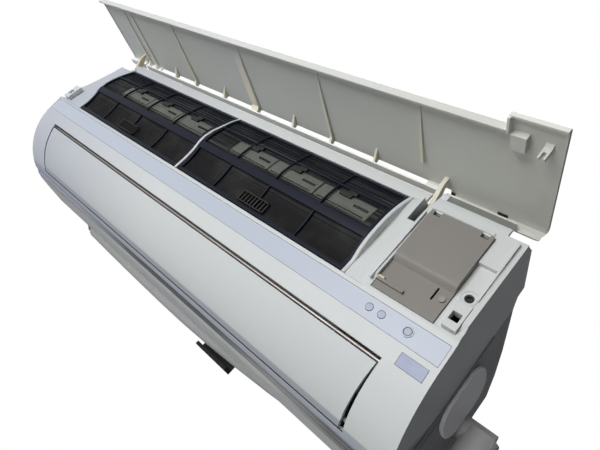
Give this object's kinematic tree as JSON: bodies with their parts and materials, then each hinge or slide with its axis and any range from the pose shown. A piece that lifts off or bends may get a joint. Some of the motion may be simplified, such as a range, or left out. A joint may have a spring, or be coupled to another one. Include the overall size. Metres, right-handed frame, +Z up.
{
  "type": "split air conditioner indoor unit",
  "caption": "Wall-hung split air conditioner indoor unit, its hinged intake panel swung open over removable filters, with a closed air flap, electronics bay and pipes.",
  "frame": {"origin": "middle of the wall plate's flat rear face, level with the ridge above the band", "axes": "X runs along the unit (its long way), +Y points into the wall, +Z is up; the front faces -Y"},
  "size_m": [0.858, 0.3253, 0.3045],
  "materials": {
    "shell_white": "fine satin moulded ABS, lightly yellowed",
    "band_lilac": "smooth pale lilac band",
    "lens_lilac": "smoked lilac lens plastic",
    "button_grey": "pale button",
    "board_green": "printed circuit board",
    "plate_grey": "satin moulded plate",
    "arm_cream": "yellowed moulded plastic",
    "pin_steel": "plated steel",
    "filter_dark": "dark filter frame plastic",
    "mesh_dark": "fine woven filter mesh as a thin plain sheet",
    "cassette_pale": "pale cassette plastic",
    "fin_aluminium": "thin fins and trim, slightly dull",
    "bend_copper": "bare copper tube bends",
    "fan_grey": "dark moulded fan plastic",
    "motor_steel": "zinc plated sheet",
    "bearing_rubber": "rubber bush",
    "pan_foam": "foam lined drain pan",
    "hose_grey": "smooth grey sleeve",
    "box_grey": "flame retardant box plastic",
    "block_black": "moulded block",
    "transformer_steel": "varnished core and winding",
    "cover_grey": "warm grey moulded cover",
    "louver_grey": "louver plastic",
    "vane_white": "vane plastic",
    "insulation_grey": "foam pipe insulation",
    "nut_brass": "turned brass",
    "clamp_black": "black painted strap"
  },
  "bodies": {
    "unit_base": {"front_shell": "shell_white", "accent_band": "band_lilac", "run_lamp_lens": "lens_lilac", "timer_lamp_lens": "lens_lilac", "receiver_window": "lens_lilac", "display_board": "board_green", "rear_chassis": "shell_white", "side_knockout_cover": "plate_grey", "panel_hinge_pin_left": "pin_steel", "panel_hinge_pin_right": "pin_steel", "latch_catch_right": "shell_white", "latch_catch_left": "shell_white", "filter_frame_left": "filter_dark", "filter_mesh_left": "mesh_dark", "filter_frame_right": "filter_dark", "filter_mesh_right": "mesh_dark", "air_cleaner_cassette_1": "cassette_pale", "air_cleaner_cassette_2": "cassette_pale", "air_cleaner_cassette_3": "cassette_pale", "air_cleaner_cassette_4": "cassette_pale", "air_cleaner_cassette_5": "cassette_pale", "air_cleaner_cassette_6": "cassette_pale", "coil_front_lower": "fin_aluminium", "coil_front_upper": "fin_aluminium", "coil_rear": "fin_aluminium", "coil_end_plate_left": "fin_aluminium", "coil_end_plate_right": "bend_copper", "fan_motor": "motor_steel", "fan_bearing": "bearing_rubber", "drain_pan": "pan_foam", "drain_hose": "hose_grey", "electrical_box": "box_grey", "circuit_board": "board_green", "terminal_block": "block_black", "transformer": "transformer_steel", "electronics_cover": "cover_grey", "cover_screw": "pin_steel", "shell_screw": "pin_steel", "flap_motor": "motor_steel", "outlet_trim_bar": "fin_aluminium", "wall_plate": "motor_steel", "gas_pipe": "insulation_grey", "liquid_pipe": "insulation_grey", "gas_flare_nut": "nut_brass", "liquid_flare_nut": "nut_brass", "pipe_clamp": "clamp_black"},
    "intake_panel_body": {"intake_panel": "shell_white", "panel_hinge_arm_left": "arm_cream", "panel_hinge_arm_right": "shell_white"},
    "flap": {"air_flap": "shell_white"},
    "louver": {"inner_louver": "louver_grey"},
    "fan": {"cross_flow_fan": "fan_grey"},
    "button": {"emergency_button": "button_grey"},
    "vane_link": {"vane_link_bar": "vane_white"},
    "vane_1": {"air_vane_1": "vane_white"},
    "vane_2": {"air_vane_2": "vane_white"},
    "vane_3": {"air_vane_3": "vane_white"},
    "vane_4": {"air_vane_4": "vane_white"},
    "vane_5": {"air_vane_5": "vane_white"},
    "vane_6": {"air_vane_6": "vane_white"}
  },
  "joints": [
    {"name": "intake_panel_hinge", "type": "hinge", "parent": "unit_base", "child": "intake_panel_body", "pos_m": [0, -0.191, 0.124], "axis": [1, 0, 0], "range_deg": [0, 89]},
    {"name": "air_flap_hinge", "type": "hinge", "parent": "unit_base", "child": "flap", "pos_m": [0, -0.153, -0.1], "axis": [1, 0, 0], "range_deg": [0, 70]},
    {"name": "inner_louver_hinge", "type": "hinge", "parent": "unit_base", "child": "louver", "pos_m": [0, -0.175, -0.066], "axis": [1, 0, 0], "range_deg": [0, 35]},
    {"name": "fan_spin", "type": "hinge", "parent": "unit_base", "child": "fan", "pos_m": [0, -0.097, -0.026], "axis": [1, 0, 0], "continuous": true},
    {"name": "emergency_button_slide", "type": "slide", "parent": "unit_base", "child": "button", "axis": [0, 1, 0], "range_m": [0, 0.0012], "stiffness_N_per_m": 400},
    {"name": "vane_1_pivot", "type": "hinge", "parent": "unit_base", "child": "vane_1", "pos_m": [-0.2771, -0.123, -0.088], "axis": [0, 0, 1], "range_deg": [-25, 25]},
    {"name": "vane_2_pivot", "type": "hinge", "parent": "unit_base", "child": "vane_2", "pos_m": [-0.16526, -0.123, -0.088], "axis": [0, 0, 1], "range_deg": [-25, 25]},
    {"name": "vane_3_pivot", "type": "hinge", "parent": "unit_base", "child": "vane_3", "pos_m": [-0.05342, -0.123, -0.088], "axis": [0, 0, 1], "range_deg": [-25, 25]},
    {"name": "vane_4_pivot", "type": "hinge", "parent": "unit_base", "child": "vane_4", "pos_m": [0.05842, -0.123, -0.088], "axis": [0, 0, 1], "range_deg": [-25, 25]},
    {"name": "vane_5_pivot", "type": "hinge", "parent": "unit_base", "child": "vane_5", "pos_m": [0.17026, -0.123, -0.088], "axis": [0, 0, 1], "range_deg": [-25, 25]},
    {"name": "vane_6_pivot", "type": "hinge", "parent": "unit_base", "child": "vane_6", "pos_m": [0.2821, -0.123, -0.088], "axis": [0, 0, 1], "range_deg": [-25, 25]},
    {"name": "vane_link_slide", "type": "slide", "parent": "unit_base", "child": "vane_link", "axis": [1, 0, 0], "range_m": [-0.006, 0.006]}
  ],
  "couplings": [
    {"joint": "inner_louver_hinge", "follows": "air_flap_hinge", "ratio": 0.5},
    {"joint": "vane_2_pivot", "follows": "vane_1_pivot", "ratio": 1},
    {"joint": "vane_3_pivot", "follows": "vane_1_pivot", "ratio": 1},
    {"joint": "vane_4_pivot", "follows": "vane_1_pivot", "ratio": 1},
    {"joint": "vane_5_pivot", "follows": "vane_1_pivot", "ratio": 1},
    {"joint": "vane_6_pivot", "follows": "vane_1_pivot", "ratio": 1},
    {"joint": "vane_link_slide", "follows": "vane_1_pivot", "m_per_rad": -0.0125}
  ]
}
